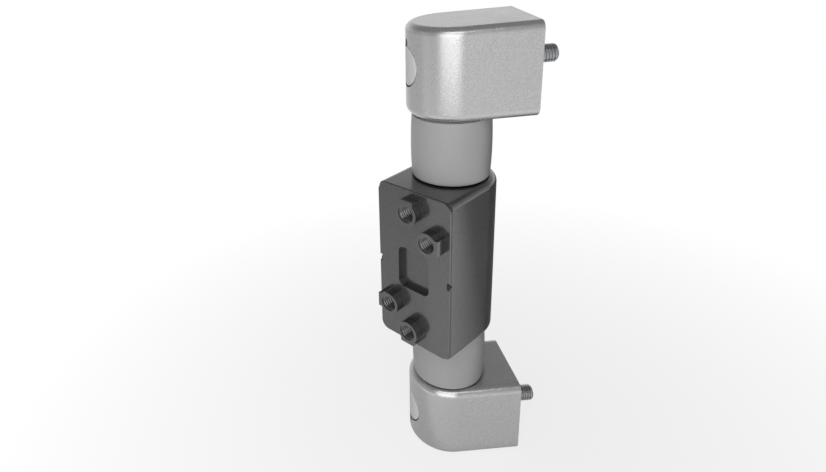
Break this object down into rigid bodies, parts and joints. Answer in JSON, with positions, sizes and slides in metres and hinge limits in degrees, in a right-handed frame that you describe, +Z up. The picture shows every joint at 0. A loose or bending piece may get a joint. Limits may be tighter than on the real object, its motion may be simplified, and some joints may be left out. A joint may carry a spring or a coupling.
{
  "type": "friction joint",
  "caption": "Friction joint that carries a horizontal framing beam on an upright and holds it at any swing angle: brackets, sleeves, shaft and a swinging arm body.",
  "frame": {"origin": "middle of the two fastening screws in the plane of the bracket backs, where they lie on the upright", "axes": "+X along the fastening screws into the upright, +Z up along the swing axis, +Y level across the upright"},
  "size_m": [0.0802, 0.0531, 0.22],
  "materials": {
    "casting_silver": "silver powder coat, satin",
    "casting_dark": "dark grey fine-textured coat, semi-gloss",
    "sleeve_plastic": "matt moulded",
    "cap_plastic": "satin moulded",
    "zinc_steel": "zinc plated",
    "ground_steel": "ground",
    "spring_steel": "oiled spring steel",
    "nut_steel": "yellow passivated",
    "black_steel": "black oxide",
    "bush_bronze": "sintered bronze",
    "friction_lining": "moulded lining",
    "seal_rubber": "matt black"
  },
  "bodies": {
    "bracket_pair": {"upper_bracket": "casting_silver", "lower_bracket": "casting_silver", "upper_cap": "cap_plastic", "lower_cap": "cap_plastic", "upper_screw": "zinc_steel", "lower_screw": "zinc_steel", "shaft": "ground_steel", "upper_sleeve": "sleeve_plastic", "lower_sleeve": "sleeve_plastic", "upper_dust_ring": "seal_rubber", "lower_dust_ring": "seal_rubber", "upper_thrust_washer": "zinc_steel", "lower_thrust_washer": "zinc_steel", "disc_springs": "spring_steel", "guide_washer": "zinc_steel", "adjusting_nut": "nut_steel", "nut_lock_screw": "black_steel", "support_collar": "zinc_steel", "collar_pin": "spring_steel"},
    "swing_arm": {"arm_body": "casting_dark", "upper_bush": "bush_bronze", "lower_bush": "bush_bronze", "upper_friction_disc": "friction_lining", "lower_friction_disc": "friction_lining"}
  },
  "joints": [
    {"name": "arm_swing", "type": "hinge", "parent": "bracket_pair", "child": "swing_arm", "pos_m": [-0.031, 0, 0], "axis": [0, 0, 1], "range_deg": [-128, 52]}
  ]
}
